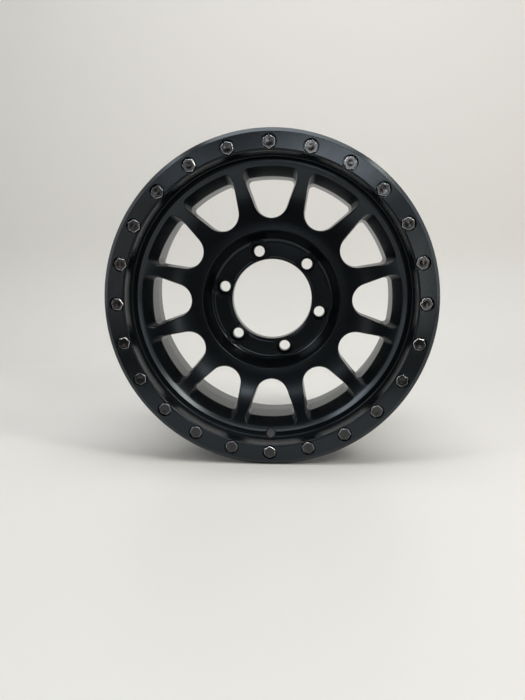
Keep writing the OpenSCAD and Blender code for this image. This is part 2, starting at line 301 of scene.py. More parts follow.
def nearest(rows, points):
    """Distance along the section to the foot of each point, and the point's height over it."""
    a, b = rows[:-1, :2], rows[1:, :2]
    edge = b - a
    span = np.linalg.norm(edge, axis=1)
    t = np.clip(np.einsum("pij,ij->pi", points[:, None] - a, edge) / span ** 2, 0, 1)
    foot = a + t[..., None] * edge
    gap = np.linalg.norm(points[:, None] - foot, axis=2)
    best = np.argmin(gap, axis=1)
    pick = np.arange(len(points))
    normal = unit(rows[:-1, 2:] + rows[1:, 2:])[best]
    away = np.einsum("pi,pi->p", points - foot[pick, best], normal)
    return lengths(rows)[best] + t[pick, best] * span[best], away


# ---- One closed shell, put together from pieces given as (radius, depth, degrees) ----

def polar(points):
    """(x, y, depth) with x away from the axle, as (radius, depth, degrees)."""
    return np.stack((np.hypot(points[..., 0], points[..., 1]), points[..., 2],
                     np.degrees(np.arctan2(points[..., 1], points[..., 0]))), axis=-1)


def polar_normals(points, normals):
    """Normals (x, y, depth) as parts outwards, along the turn and towards the brake side."""
    out = unit(points[..., :2])
    return np.stack((out[..., 0] * normals[..., 0] + out[..., 1] * normals[..., 1],
                     out[..., 0] * normals[..., 1] - out[..., 1] * normals[..., 0],
                     normals[..., 2]), axis=-1)


def grid_faces(rows, columns, closed):
    faces = []
    for i in range(rows - 1):
        for j in range(columns if closed else columns - 1):
            a, b = i * columns + j, i * columns + (j + 1) % columns
            c, d = a + columns, b + columns
            faces += [(a, b, d), (a, d, c)]
    return faces


def lathe(rows, first=0, last=360):
    """A section turned round the axle."""
    closed = last - first == 360
    angles = np.arange(first, last if closed else last + STEP / 2, STEP)
    points = np.array([[(r, d, a) for a in angles] for r, d, _, _ in rows]).reshape(-1, 3)
    normals = np.array([[(nr, 0, nd)] * len(angles) for _, _, nr, nd in rows]).reshape(-1, 3)
    return points, normals, grid_faces(len(rows), len(angles), closed)


def lattice(rings, centre, end_normals=(None, None), cap=False):
    """The wall of a hole, from rings of (x, y, depth) points. It looks towards the centre. Cap
    closes it at the last ring."""
    rings = np.array(rings)
    across = np.roll(rings, -1, axis=1) - np.roll(rings, 1, axis=1)
    down = np.empty_like(rings)
    down[1:-1] = rings[2:] - rings[:-2]
    down[0], down[-1] = rings[1] - rings[0], rings[-1] - rings[-2]
    normals = unit(np.cross(across, down))
    middle = len(rings) // 2
    if np.sum(normals[middle] * (np.asarray(centre) - rings[middle])) < 0:
        normals = -normals
    for at, given in zip((0, -1), end_normals):
        if given is not None:
            normals[at] = given
    columns = rings.shape[1]
    faces = grid_faces(len(rings), columns, True)
    if cap:
        base = (len(rings) - 1) * columns
        faces += [(base, base + j, base + j + 1) for j in range(1, columns - 1)]
    flat, flat_normals = rings.reshape(-1, 3), normals.reshape(-1, 3)
    return polar(flat), polar_normals(flat, flat_normals), faces


def inside(points, loop):
    """Even-odd test of 2-D points against a closed loop."""
    x, y = points[:, 0, None], points[:, 1, None]
    ax, ay = loop[:, 0], loop[:, 1]
    bx, by = np.roll(ax, -1), np.roll(ay, -1)
    crosses = (ay > y) != (by > y)
    with np.errstate(divide="ignore", invalid="ignore"):
        at = ax + (y - ay) / (by - ay) * (bx - ax)
    return (np.sum(crosses & (x < at), axis=1) % 2).astype(bool)


def clearance(points, line, closed=True):
    """Distance of 2-D points from a line of points."""
    a = line if closed else line[:-1]
    edge = (np.roll(line, -1, axis=0) if closed else line[1:]) - a
    t = np.einsum("pij,ij->pi", points[:, None] - a, edge) / np.sum(edge ** 2, axis=1)
    foot = a + np.clip(t, 0, 1)[..., None] * edge
    return np.linalg.norm(points[:, None] - foot, axis=2).min(axis=1)


def triangulate(flat, edges, holes):
    """Triangles between 2-D points that keep the given edges and leave out the holes."""
    found = delaunay_2d_cdt([Vector(p) for p in flat.tolist()], edges, [], 0, 1e-6)
    if any(len(ids) != 1 for ids in found[3]):
        raise ValueError("points of a patch coincide or its edges cross")
    source = np.array([ids[0] for ids in found[3]])
    faces = source[np.array([list(f) for f in found[2]])]
    middle = flat[faces].mean(axis=1)
    keep = np.ones(len(faces), bool)
    for hole in holes:
        keep &= ~inside(middle, hole)
    return [tuple(f) for f in faces[keep]]


def ring_edges(start, count, closed=True):
    edges = [(start + k, start + k + 1) for k in range(count - 1)]
    return edges + [(start + count - 1, start)] if closed else edges


def patch(rows, half, loops=(), lines=(), by_radius=False, skip=None, gap=1.0):
    """A sector of a turned surface with holes along loops that lie on it. Lines are further
    rings of points and normals that the triangles have to keep. Grid points that skip picks,
    or that lie nearer than gap to a loop, are left out. By_radius is for a section whose
    points are told apart by their radius alone."""
    along = lengths(rows)
    scale = math.radians(1) * rows[:, 0].mean()
    angles = np.arange(-half, half + STEP / 2, STEP)

    def flat_of(points):
        if by_radius:
            s = np.interp(points[:, 0], rows[:, 0], along)
        else:
            s = nearest(rows, points[:, :2])[0]
        return np.stack((s, points[:, 2] * scale), axis=1)

    loop_flats = [flat_of(loop) for loop in loops]
    line_flats = [flat_of(line[0]) for line in lines]
    n, m = len(rows), len(angles)
    i, j = np.divmod(np.arange(n * m), m)
    grid = np.stack((rows[i, 0], rows[i, 1], angles[j]), axis=1)
    grid_flat = np.stack((along[i], angles[j] * scale), axis=1)
    border = (i == 0) | (i == n - 1) | (j == 0) | (j == m - 1)
    keep = np.ones(n * m, bool)
    for flat in loop_flats:
        keep &= ~inside(grid_flat, flat) & (clearance(grid_flat, flat) > gap)
    if skip is not None:
        keep &= ~skip(grid)
    keep |= border
    index = np.full(n * m, -1)
    index[keep] = np.arange(keep.sum())
    edges = []
    for side in (i == 0, i == n - 1, j == 0, j == m - 1):
        ids = index[np.flatnonzero(side)]
        edges += list(zip(ids[:-1].tolist(), ids[1:].tolist()))
    points, flats = [grid[keep]], [grid_flat[keep]]
    normals = [np.stack((rows[i, 2], 0 * rows[i, 2], rows[i, 3]), axis=1)[keep]]
    count = int(keep.sum())
    chains = []
    for loop, flat in zip(loops, loop_flats):
        nr, nd = (np.interp(flat[:, 0], along, rows[:, c]) for c in (2, 3))
        chains.append((loop, flat, unit(np.stack((nr, 0 * nr, nd), axis=1)), True))
    chains += [(line, flat, line_normals, False)
               for (line, line_normals), flat in zip(lines, line_flats)]
    for chain, flat, chain_normals, closed in chains:
        points.append(chain)
        flats.append(flat)
        normals.append(chain_normals)
        edges += ring_edges(count, len(chain), closed)
        count += len(chain)
    faces = triangulate(np.concatenate(flats), edges, loop_flats)
    return np.concatenate(points), np.concatenate(normals), faces


def along_axle(way, count):
    """Normals that look to the brake side for a way of 1, and to the street for -1."""
    return np.tile((0.0, 0.0, float(way)), (count, 1))


def flat_sheet(outlines, depth, facing, holes=()):
    """A flat face between closed outlines of (x, y) points; it lies inside the first one."""
    plan = np.concatenate(outlines)
    edges, start = [], 0
    for outline in outlines:
        edges += ring_edges(start, len(outline))
        start += len(outline)
    faces = [f for f in triangulate(plan, edges, holes)
             if inside(plan[list(f)].mean(axis=0, keepdims=True), outlines[0])[0]]
    points = np.column_stack((plan, np.full(len(plan), depth)))
    return polar(points), along_axle(facing, len(plan)), faces


def circle(r, count, centre=0.0, phase=0.0):
    a = np.radians(np.arange(count) * 360 / count + phase)
    return np.stack((centre + r * np.cos(a), r * np.sin(a)), axis=1)


def bored(rows, centre, count):
    """Rings of a round hole whose axis is parallel to the axle."""
    way = circle(1, count)
    return [np.column_stack((centre + r * way[:, 0], r * way[:, 1], np.full(count, d)))
            for r, d, _, _ in rows]


# ---- Edges between a turned surface and the wall of a hole ----

def slope_of(surface, r):
    return (surface(r + 0.02) - surface(r - 0.02)) / 0.04


def rounded_edge(points, wall, surface, radius, cap, facing, steps):
    """Rings from the surface over the rounded edge onto the wall, and the surface's normals
    there. Cap is the most that the rounding may take off the surface and the wall. Facing is
    -1 for a surface that looks to the street and +1 for one that looks to the brake."""
    tau = unit(np.roll(points, -1, axis=0) - np.roll(points, 1, axis=0))
    out = unit(np.stack((tau[:, 1], -tau[:, 0]), axis=1))
    middle = points[:, :2].mean(axis=0)
    out *= np.sign(np.sum(out * (points[:, :2] - middle), axis=1))[:, None]
    r = np.hypot(points[:, 0], points[:, 1])
    radial = points[:, :2] / r[:, None]
    slope = slope_of(surface, r)
    over = unit(np.column_stack((out, slope * np.sum(out * radial, axis=1))))
    into = unit(wall)
    across = unit(into - np.sum(into * tau, axis=1, keepdims=True) * tau)
    turn = math.pi - np.arccos(np.clip(np.sum(over * across, axis=1), -1, 1))
    setback = np.minimum(radius * np.tan(turn / 2), cap)[:, None]
    plan = points[:, :2] + out * setback * np.linalg.norm(over[:, :2], axis=1, keepdims=True)
    start = np.column_stack((plan, surface(np.hypot(plan[:, 0], plan[:, 1]))))
    end = points + into * setback
    weight = np.cos(turn / 2)[:, None]
    rings = [start]
    for k in range(1, steps):
        t = k / steps
        a, b, c = (1 - t) ** 2, 2 * t * (1 - t) * weight, t ** 2
        rings.append((a * start + b * points + c * end) / (a + b + c))
    rings.append(end)
    r = np.hypot(plan[:, 0], plan[:, 1])
    slope = slope_of(surface, r)[:, None]
    normal = unit(np.column_stack((-slope * plan / r[:, None], np.ones(len(plan)))) * facing)
    return rings, normal


# ---- Windows ----

def window_form(mm):
    """The straight side of a window and its round tip, with x away from the axle."""
    half = math.radians(HALF_SECTOR)

    def spoke_edge(r, half_w):
        return np.array((r * math.cos(half) + half_w * math.sin(half),
                         r * math.sin(half) - half_w * math.cos(half)))

    near = spoke_edge(mm.tip_r + 10, mm.spoke_inner / 2)
    far = spoke_edge(mm.lip_r - 14, mm.spoke_outer / 2)
    angle = math.atan2(far[1] - near[1], far[0] - near[0])
    along = np.array((math.cos(angle), math.sin(angle)))
    inward = np.array((math.sin(angle), -math.cos(angle)))
    offset = -(near @ inward)
    tip = (offset + mm.tip_r * math.sin(angle)) / (1 - math.sin(angle))
    return SimpleNamespace(near=near, angle=angle, along=along, inward=inward, tip=tip,
                           tip_centre=np.array((mm.tip_r + tip, 0)))


def window_outline(form, end_r, corner_r, shift):
    """Points round a window, whose walls stand out by shift."""
    start = form.near + (corner_r - shift) * form.inward
    b, c = start @ form.along, start @ start - (end_r - corner_r) ** 2
    corner = start + (math.sqrt(b * b - c) - b) * form.along
    side = math.pi / 2 + form.angle          # direction of the side wall's outward normal
    tip = form.tip_centre + (form.tip + shift) * bearing(np.linspace(math.pi, side, 14))
    foot = corner + corner_r * bearing(np.array([side]))
    straight = tip[-1] + (foot - tip[-1]) * np.linspace(0, 1, 9)[1:-1, None]
    head = math.atan2(corner[1], corner[0])
    arc = corner + corner_r * bearing(np.linspace(side, head, 11))
    end = end_r * bearing(np.linspace(head, 0, 10)[1:])
    half = np.concatenate((tip, straight, arc, end))
    return np.concatenate((half, half[-2:0:-1] * (1, -1)))


def bearing(a):
    return np.stack((np.cos(a), np.sin(a)), axis=1)


def window_wall(mm):
    """Rings of a window from the spoke faces to the back of the disc."""
    form = window_form(mm)
    face, back = depth_of(spoke_faces(mm)), depth_of(disc_back())
    lip_depth = float(face(mm.lip_r))
    run = (mm.lip_r - mm.end_r) / (mm.slant_depth - lip_depth)
    widening = 2.6 / (mm.slant_depth - lip_depth)
    draft = math.tan(math.radians(5))
    top, bottom, step = 34.0, 96, 0.25
    levels = np.arange(top, bottom, step)
    table = []
    for depth in levels:
        above = max(0, mm.slant_depth - depth)
        table.append(window_outline(form, mm.end_r + above * run,
                                    mm.corner_r + above * widening,
                                    (mm.slant_depth - depth) * draft))
    table = np.array(table)
    columns = np.arange(table.shape[1])

    def at(depth):
        place = np.clip((depth - top) / step, 0, len(levels) - 1.001)
        low = place.astype(int)
        part = (place - low)[:, None]
        plan = table[low, columns] * (1 - part) + table[low + 1, columns] * part
        return np.column_stack((plan, depth))

    def meet(surface):
        over = levels[:, None] - surface(np.hypot(table[..., 0], table[..., 1]))
        first = np.argmax(over > 0, axis=0)
        a, b = over[first - 1, columns], over[first, columns]
        return levels[first - 1] + step * a / (a - b)

    front_depth, back_depth = meet(face), meet(back)
    front, rear = at(front_depth), at(back_depth)
    down = at(front_depth + 0.5) - front
    up = at(back_depth - 0.5) - rear
    front_rings, front_normal = rounded_edge(front, down, face, mm.edge_fillet, 2.4, -1, 5)
    thin = np.interp(np.hypot(rear[:, 0], rear[:, 1]), (150, 162), (1.5, 0.45))
    back_rings, back_normal = rounded_edge(rear, up, back, 1.2, thin, 1, 3)
    start, end = front_rings[-1][:, 2], back_rings[-1][:, 2]
    before = np.maximum(mm.slant_depth - 0.6, start + 0.5)
    kink = np.maximum(mm.slant_depth, start + 1.0)
    after = np.maximum(mm.slant_depth + 0.6, start + 1.5)
    soft = (at(before) + 2 * at(kink) + at(after)) / 4
    middle = [at(start + (before - start) * t) for t in (0.33, 0.67, 1)] + [soft]
    middle += [at(after + (end - after) * t) for t in (0, 0.33, 0.67)]
    rings = front_rings + middle + back_rings[::-1]
    centre = (form.tip_centre[0] + 4, 0, 70)
    return rings, lattice(rings, centre, (front_normal, back_normal))


# ---- Bolt recesses, stud holes, relief pockets and the valve hole ----

def bolt_recess(mm):
    face = depth_of(ring_face(mm))
    plan = circle(mm.seat_r, 36, mm.bolt_circle_r)
    edge = np.column_stack((plan, face(np.hypot(plan[:, 0], plan[:, 1]))))
    rings, normal = rounded_edge(edge, along_axle(1, len(plan)), face, 0.35, 0.35, -1, 3)
    below = turned([(0.6, 12), (4.15, 12, 0.3), (4.15, mm.seat_depth, 0.3),
                    (mm.seat_r, mm.seat_depth, 0.5), (mm.seat_r, 4.4)])[::-1]
    rings += bored(below, mm.bolt_circle_r, 36)
    ends = (normal, along_axle(-1, len(plan)))
    return rings[0], lattice(rings, (mm.bolt_circle_r, 0, 6), ends, cap=True)


def nut_seat(mm):
    cone = (mm.nut_r - mm.stud_r) / math.tan(NUT_CONE)
    depth = mm.floor_depth + NUT_FLAT_DROP
    rows = turned([(mm.stud_r + 1.1, mm.hub_depth), (mm.stud_r, mm.hub_depth, 0.6),
                   (mm.stud_r, depth + cone, 1.2), (mm.nut_r, depth, 0.5),
                   (mm.nut_r + 0.35, depth)])
    count = 48
    rings = bored(rows, mm.stud_circle_r, count)
    ends = (along_axle(1, count), along_axle(-1, count))
    return rings, lattice(rings, (mm.stud_circle_r, 0, 98), ends)


def spot_face(mm):
    """Rings along the low step round a nut seat's milled flat, which runs out into the bore."""
    floor = depth_of(bowl_floor(mm))
    low = mm.floor_depth + NUT_FLAT_DROP
    count = 96
    way = circle(1, count, 0, 180)
    slanted = unit(np.column_stack((-way, -0.9 * np.ones(count))))
    rings = []
    for margin, kind in ((0.5, "floor"), (0.1, "top"), (-0.7, "foot"), (-1.1, "flat")):
        plan = way * (mm.nut_flat_r + margin) + (mm.stud_circle_r, 0)
        radius = np.hypot(plan[:, 0], plan[:, 1])
        slope = slope_of(floor, radius)[:, None]
        level = unit(np.column_stack((slope * plan / radius[:, None], -np.ones(count))))
        depth, normal = {"floor": (floor(radius), level),
                         "top": (floor(radius) + 0.15, slanted),
                         "foot": (np.full(count, low - 0.15), slanted),
                         "flat": (np.full(count, low), along_axle(-1, count))}[kind]
        points = np.column_stack((plan, depth))
        keep = radius > mm.hub_bore_r + HUB_CHAMFER + 0.5
        rings.append((polar(points)[keep], polar_normals(points, normal)[keep]))
    return rings


def pocket_outline(mm, shift):
    """A kidney between two stud holes, for the hub's rear face."""
    inner, outer = mm.hub_bore_r + POCKET_MARGIN, POCKET_R
    mid, end = (inner + outer) / 2, (outer - inner) / 2
    half = math.radians(30) - math.asin((mm.nut_flat_r + end - 3) / mid)
    sweep = np.linspace(-half, half, 9)
    centre = mid * bearing(np.array([half]))
    caps = [middle + (end + shift) * bearing(np.linspace(first, first + math.pi, 13)[1:-1])
            for middle, first in ((centre, half), (centre * (1, -1), math.pi - half))]
    return np.concatenate(((outer + shift) * bearing(sweep), caps[0],
                           (inner - shift) * bearing(sweep[::-1]), caps[1]))


def relief_pocket(mm):
    floor = mm.hub_depth - 7
    rows = turned([(-2.5, floor), (0, floor, 1.2), (0, mm.hub_depth, 0.6),
                   (1.2, mm.hub_depth)], -1)
    plans = [pocket_outline(mm, r) for r in rows[:, 0]]
    rings = [np.column_stack((plan, np.full(len(plan), d))) for plan, d in zip(plans, rows[:, 1])]
    ends = (along_axle(1, len(plans[0])),) * 2
    middle = 0.5 * (mm.hub_bore_r + POCKET_MARGIN + POCKET_R)
    wall = lattice(rings, (middle, 0, mm.hub_depth - 3), ends)
    sheet = flat_sheet(plans[:1], floor, 1)
    return rings[-1][:, :2], wall, sheet


def valve_hole(mm):
    """The leaning valve hole: from the step inside the ring to the slope of the drop well."""
    origin = np.array((mm.land_r + 0.8, 0, mm.land_depth))
    deep = np.array((-math.cos(VALVE_LEAN), 0, math.sin(VALVE_LEAN)))
    street = np.array((-math.sin(VALVE_LEAN), 0, -math.cos(VALVE_LEAN)))
    side = np.array((0.0, 1.0, 0.0))
    path = np.array(((VALVE_SPOT_R, 6.4), (VALVE_SPOT_R, -1.2), (6.62, -1.2), (VALVE_R, -2.4),
                     (VALVE_R, -24)))
    run = lengths(path)
    count = 48
    way = circle(1, count)
    ways = way[:, :1] * deep + way[:, 1:] * side

    def at(t):
        r, z = np.interp(t, run, path[:, 0]), np.interp(t, run, path[:, 1])
        return origin + ways * r[:, None] + street * z[:, None]

    def section_of(points):
        return np.stack((np.hypot(points[:, 0], points[:, 1]), points[:, 2]), axis=1)

    def meet(rows, first, last, leaving):
        """Where each line of the hole's wall enters the metal, or leaves it."""
        steps = np.linspace(first, last, 500)
        outside = []
        for t in steps:
            outside.append(nearest(rows, section_of(at(np.full(count, t))))[1])
        outside = np.array(outside) * (-1 if leaving else 1)
        k = np.argmax(outside < 0, axis=0)
        pick = np.arange(count)
        a, b = outside[k - 1, pick], outside[k, pick]
        return steps[k - 1] + (steps[1] - steps[0]) * a / (a - b)

    enter = meet(spoke_faces(mm), 0, run[-1] - 10, False)
    leave = meet(tyre_well_slope(), run[3] + 1.5, run[-1], True)
    stops = [enter, enter + 0.25]
    for corner in (run[1] - 0.25, run[1] + 0.15, run[2] + 0.1, run[3] - 0.1, run[3] + 0.3):
        stops.append(np.maximum(corner, stops[-1] + 0.12))
    stops += [leave - 0.3, leave]
    rings = [at(t) for t in stops]
    for ring, rows in ((rings[0], spoke_faces(mm)), (rings[-1], tyre_well_slope())):
        s, _ = nearest(rows, section_of(ring))
        r, d = (np.interp(s, lengths(rows), rows[:, c]) for c in (0, 1))
        ring[:, :2] *= (r / np.hypot(ring[:, 0], ring[:, 1]))[:, None]
        ring[:, 2] = d
    return rings, lattice(rings, origin - street * 5)


# ---- The casting ----

def casting_pieces(mm):
    """Every surface of the casting, each with the turns at which it stands."""
    once = (0,)
    window_rings, window = window_wall(mm)
    window_front, window_back = polar(window_rings[0]), polar(window_rings[-1])
    valve_rings, valve = valve_hole(mm)
    valve_front, valve_back = polar(valve_rings[0]), polar(valve_rings[-1])
    recess_front, recess = bolt_recess(mm)
    nut_rings, nut = nut_seat(mm)
    pocket_rim, pocket, pocket_floor = relief_pocket(mm)
    faces = spoke_faces(mm)
    floor = bowl_floor(mm)
    low = mm.floor_depth + NUT_FLAT_DROP
    stud_turns = [FIRST_STUD + 60 * i for i in range(6)]
    pocket_turns = [turn - 30 for turn in stud_turns]
    bolt_turns = [360 / mm.bolts * i for i in range(mm.bolts)]

    def near_nut(grid):
        plan = grid[:, :1] * bearing(np.radians(grid[:, 2]))
        return np.hypot(plan[:, 0] - mm.stud_circle_r, plan[:, 1]) < mm.nut_flat_r + 0.9

    edge_r = mm.hub_bore_r + HUB_CHAMFER
    rim = math.degrees(math.acos((edge_r ** 2 + mm.stud_circle_r ** 2 - mm.nut_flat_r ** 2)
                                 / (2 * edge_r * mm.stud_circle_r)))
    bowl = patch(floor, 30, [polar(nut_rings[-1])], spot_face(mm), True, near_nut)
    milled = (bowl[0][:, 0] < edge_r + 0.1) & (abs(bowl[0][:, 2]) < rim)
    bowl[0][milled, 1] = low
    bore = lathe(hub_bore(mm))
    from_stud = (bore[0][:, 2] - FIRST_STUD + 30) % 60 - 30
    edge = (bore[0][:, 1] <= mm.floor_depth + 1e-6) & (abs(from_stud) < rim)
    bore[0][edge, 1] = low
    stud_rims = [turn_plan(nut_rings[0][:, :2], a) for a in stud_turns]
    pocket_rims = [turn_plan(pocket_rim, a) for a in pocket_turns]
    count = round(360 / STEP)
    outer, inner = circle(HUB_FACE_R, count), circle(mm.hub_bore_r + BORE_MARGIN, count)
    holes = [inner] + stud_rims + pocket_rims
    hub_face = flat_sheet([outer] + holes, mm.hub_depth, 1, holes)
    slope = tyre_well_slope()
    plain_turns = [a for a in WINDOW_TURNS if a != VALVE_TURN]
    return [
        (lathe(tyre_front(mm)), once), (lathe(tyre_rear(mm)), once), (lathe(hub_back(mm)), once),
        (bore, once), (lathe(bowl_wall(mm)), once), (lathe(ring_inside(mm)), once),
        (lathe(slope, VALVE_TURN + HALF_SECTOR, VALVE_TURN + 360 - HALF_SECTOR), once),
        (patch(slope, HALF_SECTOR, [valve_back], gap=0.5), (VALVE_TURN,)),
        (patch(ring_face(mm), 180 / mm.bolts, [polar(recess_front)], gap=0.5), bolt_turns),
        (recess, bolt_turns),
        (patch(faces, HALF_SECTOR, [window_front]), plain_turns),
        (patch(faces, HALF_SECTOR, [window_front, valve_front], gap=0.7), (VALVE_TURN,)),
        (patch(disc_back()[::-1], HALF_SECTOR, [window_back]), WINDOW_TURNS),
        (window, WINDOW_TURNS), (valve, (VALVE_TURN,)),
        (bowl, stud_turns), (nut, stud_turns),
        (hub_face, once), (pocket, pocket_turns), (pocket_floor, pocket_turns),
    ]


def turn_plan(plan, degrees):
    c, s = math.cos(math.radians(degrees)), math.sin(math.radians(degrees))
    return np.stack((plan[:, 0] * c - plan[:, 1] * s, plan[:, 0] * s + plan[:, 1] * c), axis=1)


def welded(pieces):
    """Points, normals and triangles of the pieces, with the points that they share made one."""
    points, normals, faces, count = [], [], [], 0
    for (piece_points, piece_normals, piece_faces), turns in pieces:
        for turn in turns:
            points.append(piece_points + (0, 0, turn))
            normals.append(piece_normals)
            faces.append(np.array(piece_faces) + count)
            count += len(piece_points)
    points, normals, faces = (np.concatenate(part) for part in (points, normals, faces))
    turn = (points[:, 2] + 0.0004) % 360
    keys = np.round(np.column_stack((points[:, :2] * 1000, turn * 1000))).astype(np.int64)
    _, first, back = np.unique(keys, axis=0, return_index=True, return_inverse=True)
    points, normals, faces = points[first], unit(normals[first]), back.reshape(-1)[faces]
    faces = faces[np.all(faces != np.roll(faces, 1, axis=1), axis=1)]
    a = np.radians(points[:, 2])
    place = np.stack((points[:, 0] * np.cos(a), points[:, 1], points[:, 0] * np.sin(a)), axis=1)
    facing = np.stack((normals[:, 0] * np.cos(a) - normals[:, 1] * np.sin(a), normals[:, 2],
                       normals[:, 0] * np.sin(a) + normals[:, 1] * np.cos(a)), axis=1)
    return place, facing, faces


def outward(place, facing, faces):
    """Turns every triangle so that it looks the way its normals point."""
    a, b, c = (place[faces[:, k]] for k in range(3))
    wrong = np.sum(np.cross(b - a, c - a) * facing[faces].sum(axis=1), axis=1) < 0
    faces = faces.copy()
    faces[wrong] = faces[wrong][:, ::-1]
    return faces


def check_closed(name, faces):
    edges = np.sort(np.concatenate((faces[:, :2], faces[:, 1:], faces[:, ::2])), axis=1)
    _, count = np.unique(edges, axis=0, return_counts=True)
    if np.any(count != 2):
        raise ValueError("%s isn't closed: %d edges" % (name, np.sum(count != 2)))


def linked(name, data):
    """A new object in the scene."""
    thing = bpy.data.objects.new(name, data)
    bpy.context.scene.collection.objects.link(thing)
    return thing


def mesh_object(name, place, faces, material, facing=None):
    """A smooth shaded object from points in metres, with its own normals where they are given."""
    mesh = bpy.data.meshes.new(name)
    mesh.from_pydata(np.asarray(place).tolist(), [], np.asarray(faces).tolist())
    mesh.polygons.foreach_set("use_smooth", [True] * len(mesh.polygons))
    if facing is not None:
        mesh.normals_split_custom_set_from_vertices(facing.tolist())
    mesh.materials.append(material)
    return linked(name, mesh)


# ---- Finishes ----

def feed(tree, source, target):
    """Links a node's output to an input, or sets the input to a number or a colour."""
    if isinstance(source, bpy.types.NodeSocket):
        tree.links.new(source, target)
    else:
        target.default_value = source


def maths(tree, operation, *parts):
    made = tree.nodes.new("ShaderNodeMath")
    made.operation = operation
    for part, target in zip(parts, made.inputs):
        feed(tree, part, target)
    return made.outputs[0]


def mapped(tree, source, low, high, start, end):
    """Low up to start, high from end on, and even between them."""
    part = tree.nodes.new("ShaderNodeMapRange")
    for key, value in (("From Min", start), ("From Max", end), ("To Min", low), ("To Max", high),
                       ("Value", source)):
        feed(tree, value, part.inputs[key])
    return part.outputs["Result"]


def blended(tree, factor, first, second):
    """The first colour at a factor of 0, the second at 1."""
    blend = tree.nodes.new("ShaderNodeMix")
    blend.data_type = "RGBA"
    for index, part in ((0, factor), (6, first), (7, second)):  # 6 and 7 are its colour inputs
        feed(tree, part, blend.inputs[index])
    return blend.outputs[2]


class Finish:
    """A material made of nodes, with a few short ways to add them."""

    def __init__(self, name):
        self.material = bpy.data.materials.new(name)
        self.material.use_nodes = True
        self.tree = self.material.node_tree
        self.shader = self.tree.nodes["Principled BSDF"]

    def node(self, kind, **values):
        made = self.tree.nodes.new(kind)
        for key, value in values.items():
            if key in made.inputs:
                made.inputs[key].default_value = value
            else:
                setattr(made, key, value)
        return made

    def link(self, source, target):
        self.tree.links.new(source, target)

    def place(self):
        """The object coordinates, in metres."""
        return self.node("ShaderNodeTexCoord").outputs["Object"]

    def along(self, axis):
        parts = self.node("ShaderNodeSeparateXYZ")
        self.link(self.place(), parts.inputs[0])
        return parts.outputs[axis]

    def noise(self, scale, detail, roughness=0.5):
        noise = self.node("ShaderNodeTexNoise", Scale=scale, Detail=detail, Roughness=roughness)
        self.link(self.place(), noise.inputs["Vector"])
        return noise.outputs["Fac"]

    def spread(self, source, low, high, start=0.3, end=0.7):
        return mapped(self.tree, source, low, high, start, end)

    def tint(self, source, dark, light, start=0.3, end=0.7):
        ramp = self.node("ShaderNodeValToRGB")
        first, last = ramp.color_ramp.elements
        first.position, first.color = start, (*dark, 1)
        last.position, last.color = end, (*light, 1)
        self.link(source, ramp.inputs["Fac"])
        return ramp.outputs["Color"]

    def bump(self, heights):
        """Heights as pairs of a source and its distance in metres."""
        normal = None
        for source, distance in heights:
            bump = self.node("ShaderNodeBump", Strength=1.0, Distance=distance)
            self.link(source, bump.inputs["Height"])
            if normal:
                self.link(normal, bump.inputs["Normal"])
            normal = bump.outputs["Normal"]
        self.link(normal, self.shader.inputs["Normal"])


def shade(value, factor):
    return tuple(min(1, part * factor) for part in value)


def powder_coat(finish):
    """Satin black powder coat: a faint orange peel, uneven gloss, and a slightly smoother ring."""
    coat = Finish("satin_black_powder_coat")
    cloud = coat.noise(14, 3)
    coat.link(coat.tint(cloud, shade(finish.coat, 0.85), shade(finish.coat, 1.2)),
              coat.shader.inputs["Base Color"])
    behind_ring = coat.spread(coat.along("Y"), 0.0, 1.0, -0.099, -0.080)  # its face is at -0.1025
    uneven = coat.spread(coat.noise(90, 3), 0.0, 0.02)
    rise = maths(coat.tree, "MULTIPLY_ADD", behind_ring, 0.03, uneven)
    coat.link(maths(coat.tree, "ADD", rise, 0.195), coat.shader.inputs["Roughness"])
    coat.shader.inputs["Specular IOR Level"].default_value = 0.45
    coat.shader.inputs["Specular Tint"].default_value = (0.78, 0.90, 1.0, 1)
    coat.bump([(coat.noise(620, 2), 0.000008), (coat.noise(160, 1), 0.000012)])
    return coat.material


def zinc_plate(finish):
    """Dark chromated zinc plate on steel, cloudy, and brighter along the heads' edges, partly from
    wear and partly as a painted highlight.
    """
    zinc = Finish("dark_zinc_plate")
    zinc.shader.inputs["Metallic"].default_value = 1.0
    plate = zinc.tint(zinc.noise(150, 3, 0.6), shade(finish.plate, 0.85), shade(finish.plate, 1.15))
    bare_and_glint = zinc.tint(zinc.noise(700, 2, 0.6), shade(finish.bare_and_glint, 0.6), finish.bare_and_glint)
    # The heads' rounded edges get a bright colour: wear of the plate, and a painted highlight
    # there.
    edge = zinc.node("ShaderNodeAttribute", attribute_name="rubbed_and_glint").outputs["Fac"]
    worn_and_glint = zinc.spread(edge, 0.0, 1.0, 0.35, 0.95)
    zinc.link(blended(zinc.tree, worn_and_glint, plate, bare_and_glint), zinc.shader.inputs["Base Color"])
    zinc.link(zinc.spread(zinc.noise(260, 4, 0.65), 0.12, 0.24), zinc.shader.inputs["Roughness"])
    zinc.bump([(zinc.noise(900, 2), 0.00001)])
    return zinc.material


# ---- Bolts ----

def hexagon(flats, corner):
    """Points round a hexagon with slightly rounded corners."""
    tip = (flats / 2 - corner) / math.cos(math.radians(30))

    def rounded(middle, degrees):
        ways = bearing(np.array([middle, middle + math.radians(degrees)]))
        return tip * ways[0] + corner * ways[1]

    points = []
    for k in range(6):
        points += [rounded(math.radians(60 * k), degrees) for degrees in (-30, -15, 0, 15, 30)]
        here, there = points[-1], rounded(math.radians(60 * (k + 1)), -30)
        points += [here + (there - here) * t for t in (0.25, 0.5, 0.75)]
    return np.array(points)


